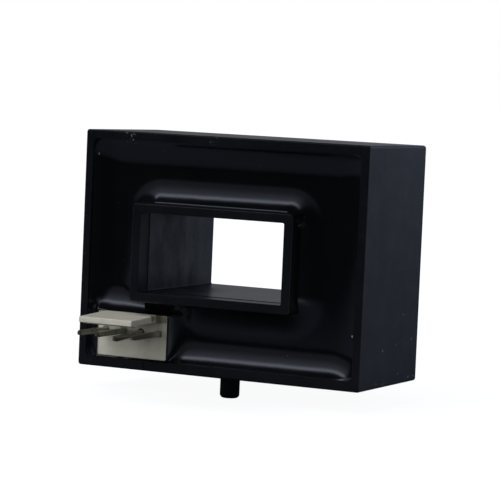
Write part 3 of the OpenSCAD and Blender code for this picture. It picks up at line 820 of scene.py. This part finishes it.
def pinRow(geometry, given):
    line = geometry.node("GeometryNodeMeshLine", {"mode": "OFFSET"}, {
        "Count": given["Count"], "Start Location": given["First Pin"],
        "Offset": geometry.node("ShaderNodeCombineXYZ", {}, {"X": given["Pitch"]})})
    bars = geometry.node("GeometryNodeInstanceOnPoints", {}, {"Points": line, "Instance": geometry})
    bars = geometry.node("GeometryNodeRealizeInstances", {}, {"Geometry": bars})
    x, y, _ = geometry.node("GeometryNodeInputPosition").split()
    firstX, _, _ = given["First Pin"].split()
    aside = x - (firstX + given["Pitch"] * given["Bent Pin"])
    away = aside.math("ABSOLUTE", aside)
    bent = away.math("LESS_THAN", away, given["Pitch"] / 2)
    drop = (given["Bend Start"] - y).atLeast(0) * given["Droop"]
    offset = geometry.node("ShaderNodeCombineXYZ", {}, {"Z": 0 - drop})
    return geometry.node("GeometryNodeSetPosition", {},
                         {"Geometry": bars, "Selection": bent, "Offset": offset})


pinTree = makeTree("pinRow", {"Count": "Int", "Pitch": "Float", "Bent Pin": "Float", "Droop": "Float",
                              "Bend Start": "Float", "First Pin": "Vector"}, pinRow)
pins = addPiece("terminalPins", pinShape())
growTree(pins, pinTree, {**pinRule, "First Pin": Vector((pinPlaces[0], 0, headerMouth.z)), "Finish": pinTin})
smoothFaces(pins, pinSize["crease"])
print("pins:", len(pins.data.polygons), "faces")


# Bodies, replaced nodes and slots

for piece, slot, nodes in (
        (housing, "housing_plastic", ["housing"]),
        (resin, "casting_resin", ["potting_resin"]),
        (header, "header_nylon", ["header_base"]),
        (pins, "pin_tin", ["terminal_pin_%d" % (k + 1) for k in range(pinCount)])):
    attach(piece, "root")
    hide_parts(*nodes)
print("pieces put on their body")


# Room, floor, lamps and camera

viewSize = {"azimuth": 26.78, "elevation": 4.15, "roll": 2.49, "distance": 354.8 * mm,
            "target": Vector((-0.362, 4.7, 15.697)) * mm, "focalPixels": 2775, "imagePixels": 500,
            "sensor": 36.0, "clip": 0.01}


def wayTo(turn, rise):
    # way from the object to a place this many degrees to the right of the front, and this many up
    turn, rise = math.radians(turn), math.radians(rise)
    return Vector((math.sin(turn) * math.cos(rise), -math.cos(turn) * math.cos(rise), math.sin(rise)))


def viewAxes():
    # right, up and back of the camera, with its roll
    turn, roll = math.radians(viewSize["azimuth"]), math.radians(viewSize["roll"])
    back = wayTo(viewSize["azimuth"], viewSize["elevation"])
    right = Vector((math.cos(turn), math.sin(turn), 0))
    up = back.cross(right)
    return math.cos(roll) * right + math.sin(roll) * up, math.cos(roll) * up - math.sin(roll) * right, back


right, up, back = viewAxes()
lens = bpy.data.cameras.new("photoView")
lens.sensor_width = viewSize["sensor"]
lens.lens = viewSize["sensor"] * viewSize["focalPixels"] / viewSize["imagePixels"]
lens.clip_start = viewSize["clip"]
camera = bpy.data.objects.new("photoView", lens)
stand = Matrix.Translation(viewSize["target"] + back * viewSize["distance"])
camera.matrix_world = stand @ Matrix((right, up, back)).transposed().to_4x4()
bpy.context.scene.collection.objects.link(camera)
bpy.context.scene.camera = camera

# angles are degrees to the right of the front; heights are sines of the angle above the level
roomLook = {"dim": colour(0.018, 0.0205, 0.0255), "white": colour(1, 1, 1),
            "ceiling": colour(0.022, 0.025, 0.033), "ceilingHeight": (0.05, 0.9),
            "pale": colour(0.35, 0.415, 0.575), "paleSide": Vector((0.5525, 0.8335, 0)),
            "paleEdge": (0.35, 0.95), "paleRight": 0.04, "paleRightFrom": 15, "paleRightEdge": (0, 0.5),
            "studioShare": 0.35, "studioHeight": (0.12, 0.3), "studioLeft": -122, "studioAim": (0.93, 0.99),
            "studioRight": (30, 95), "studioEdge": (0, 0.3),
            "front": colour(0.56, 0.62, 0.79), "leftEnd": -62, "leftEdge": (-0.03, 0.14),
            "rightEnd": 7, "rightEdge": (0, 0.5),
            "lowGlow": (0.05, 0.25), "highGlow": (0.33, 0.70), "highShare": 0.75, "glowTop": (0.70, 0.76),
            "strip": colour(2.2, 2.4, 2.85), "stripFoot": (0.62, 0.705), "stripTop": (0.70, 0.75),
            "backdropCone": (0.90, 0.97), "backdropShare": 0.275}


def lightRoom():
    # glow in front that grows with height up to a bright strip, pale behind on the right, a faint studio
    # glow at both sides, dim elsewhere; white behind the object for the camera, and some of that for gloss
    # and glass
    look = roomLook
    world = bpy.data.worlds.new("room")
    world.use_nodes = True
    world.node_tree.nodes.clear()
    start = Wire(world.node_tree)
    way = start.node("ShaderNodeTexCoord", {}, {}, "Generated")
    level = way.vector("NORMALIZE", way.squeeze(1, 1, 0))
    _, _, height = way.split()

    def turned(degrees):
        # sine of the turn to the right of an upright plane at this many degrees from the front
        turn = math.radians(degrees)
        return way.vector("DOT_PRODUCT", level, Vector((math.cos(turn), math.sin(turn), 0)), take="Value")

    front = turned(look["leftEnd"]).between(*look["leftEdge"])
    front = front * (0 - turned(look["rightEnd"])).between(*look["rightEdge"])
    rising = height.between(*look["lowGlow"]).blend(height.between(*look["highGlow"]), look["highShare"])
    rising = rising * (1 - height.between(*look["glowTop"]))
    strip = height.between(*look["stripFoot"]) * (1 - height.between(*look["stripTop"]))
    leftAim = turned(look["studioLeft"] - 90).between(*look["studioAim"])
    rightFrom, rightTo = (turned(angle).between(*look["studioEdge"]) for angle in look["studioRight"])
    rightAim = rightFrom * (1 - rightTo)
    studio = (leftAim + rightAim) * height.between(*look["studioHeight"]) * look["studioShare"]
    side = way.vector("DOT_PRODUCT", way, look["paleSide"], take="Value").between(*look["paleEdge"])
    faint = turned(look["paleRightFrom"]).between(*look["paleRightEdge"]) * look["paleRight"]
    room = side.atLeast(faint).atLeast(studio).tint(look["dim"], look["pale"])
    room = height.between(*look["ceilingHeight"]).tint(room, look["ceiling"])
    room = (front * rising).tint(room, look["front"])
    room = (front * strip).tint(room, look["strip"])
    behind = way.vector("DOT_PRODUCT", way, -back, take="Value").between(*look["backdropCone"])
    rays = start.node("ShaderNodeLightPath", {}, {}, "Is Camera Ray")
    mirrored = (rays.out("Is Glossy Ray") + rays.out("Is Transmission Ray")) * look["backdropShare"]
    seen = (rays + behind * mirrored).atMost(1.0)
    sky = start.node("ShaderNodeBackground", {}, {"Color": seen.tint(room, look["white"]), "Strength": 1.0})
    start.node("ShaderNodeOutputWorld", {}, {"Surface": sky})
    bpy.context.scene.world = world


# sizes in metres
floorLook = {"size": 4.0, "front": 0.14, "albedo": colour(0.165, 0.20, 0.26), "fade": 0.11,
             "dark": colour(0.018, 0.02, 0.0255), "foot": 0.018, "footShadowNarrow": 0.6,
             "glow": 1.0, "tone": colour(1, 1, 1), "shade": 0.06, "shadeReach": 0.3, "soft": 0.03,
             "litBehind": 0.7, "behindSlant": 0.2, "litRight": 0.4, "rightSlant": 1.2, "rightFrom": -0.06}


def layFloor():
    # pale table top at the peg's tip: it glows for the camera and still takes the object's shadow;
    # gloss sees it lit behind the object and on its right
    look = floorLook
    shape = bmesh.new()
    half = look["size"] / 2
    edge = housingLow.y - look["front"]
    shape.faces.new([shape.verts.new((x, y, housingLow.z)) for x, y in
                     ((-half, edge), (half, edge), (half, half), (-half, half))])
    floor = addPiece("floor", shape)
    finish = bpy.data.materials.new("floorWhite")
    finish.use_nodes = True
    finish.node_tree.nodes.clear()
    start = Wire(finish.node_tree)
    rays = start.node("ShaderNodeLightPath", {}, {}, "Is Camera Ray")
    place = start.node("ShaderNodeTexCoord", {}, {}, "Object")
    dimmer = place.near((0, 0, housingLow.z), look["shadeReach"]) * look["shade"]
    across, along, _ = place.split()
    behind = along - housingHigh.y
    rightOf = across - housingHigh.x
    soft = look["soft"]
    backPatch = 1 - (rightOf - behind * look["behindSlant"]).between(-2 * soft, 0)
    backPatch = behind.between(0, soft) * backPatch * look["litBehind"]
    rightPatch = rightOf.between(0, soft) * (rightOf * look["rightSlant"] - behind).between(0, 2 * soft)
    rightPatch = rightPatch * (along - look["rightFrom"]).between(0, soft) * look["litRight"]
    lit = backPatch.atLeast(rightPatch)
    # painted shadow: the floor's colour darkens just in front of the object's foot, standing in for the
    # contact shadow that the resin mirrors
    foot = place.squeeze(look["footShadowNarrow"], 1, 1).near((0, housingLow.y, housingLow.z), look["foot"])
    pale = (along - edge).between(0, look["fade"]) * (1 - foot)
    matt = start.node("ShaderNodeBsdfDiffuse", {}, {"Color": pale.tint(look["dark"], look["albedo"])})
    strength = rays * (look["glow"] - dimmer) + rays.out("Is Glossy Ray") * lit
    glow = start.node("ShaderNodeEmission", {}, {"Color": look["tone"], "Strength": strength})
    both = start.node("ShaderNodeAddShader", {}, {0: matt, 1: glow})
    start.node("ShaderNodeOutputMaterial", {}, {"Surface": both})
    coat(floor, finish)


# degrees to the right of the front and up, then metres
lampLook = {"overhead": {"turn": -20, "rise": 68, "away": 0.6, "wide": 0.5, "high": 0.5, "brightness": 1.85},
            "fill": {"turn": -32, "rise": 12, "away": 0.5, "wide": 0.5, "high": 0.4, "brightness": 2.5},
            "rightFill": {"turn": 60, "rise": 12, "away": 0.5, "wide": 0.4, "high": 0.4, "brightness": 1.2}}
lampTone = (1.0, 0.99, 0.97)


def hangLamp(name, look):
    # rectangular lamp of a given brightness, turned to the object's middle and not mirrored in it
    way = wayTo(look["turn"], look["rise"])
    lamp = bpy.data.lights.new(name, "AREA")
    lamp.shape = "RECTANGLE"
    lamp.size, lamp.size_y = look["wide"], look["high"]
    lamp.energy = look["brightness"] * math.pi * look["wide"] * look["high"]
    lamp.color = lampTone
    hung = bpy.data.objects.new(name, lamp)
    place = viewSize["target"] + way * look["away"]
    hung.matrix_world = Matrix.Translation(place) @ way.to_track_quat("Z", "Y").to_matrix().to_4x4()
    hung.visible_camera = False
    hung.visible_glossy = False
    bpy.context.scene.collection.objects.link(hung)


lightRoom()
layFloor()
for name, look in lampLook.items():
    hangLamp(name, look)
bpy.context.scene.view_settings.view_transform = "Standard"
print("room, floor, lamps and camera placed")
